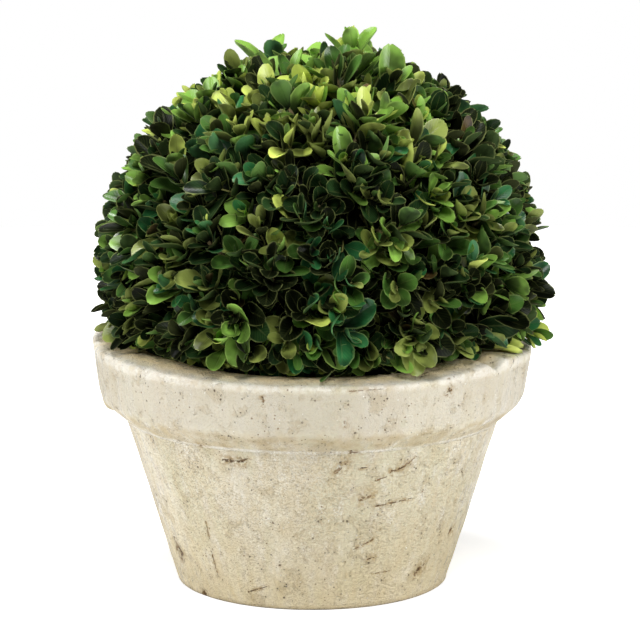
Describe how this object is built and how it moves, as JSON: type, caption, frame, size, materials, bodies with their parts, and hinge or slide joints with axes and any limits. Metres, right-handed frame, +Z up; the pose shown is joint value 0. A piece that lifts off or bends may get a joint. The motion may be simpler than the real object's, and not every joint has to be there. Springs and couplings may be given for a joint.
{
  "type": "box topiary ball in a pot",
  "caption": "Clipped ball of small-leaved evergreen box on a short hidden stem, in a squat round whitewashed clay pot with a tall collar.",
  "frame": {"origin": "centre of the pot's flat underside", "axes": "+Z up along the pot's axis; the side of the reference picture is -Y, with +X to its right"},
  "size_m": [0.2088, 0.2085, 0.254],
  "materials": {
    "pot": "matt whitewashed clay, brushed, pitted and scuffed",
    "compost": "crumbly dark bark compost",
    "bark": "pale grey-brown furrowed bark",
    "leaves": "softly glossy small leaves, deep green to lime"
  },
  "bodies": {
    "root": {"pot": "pot", "compost": "compost", "stem": "bark", "foliage": "leaves"}
  },
  "joints": []
}
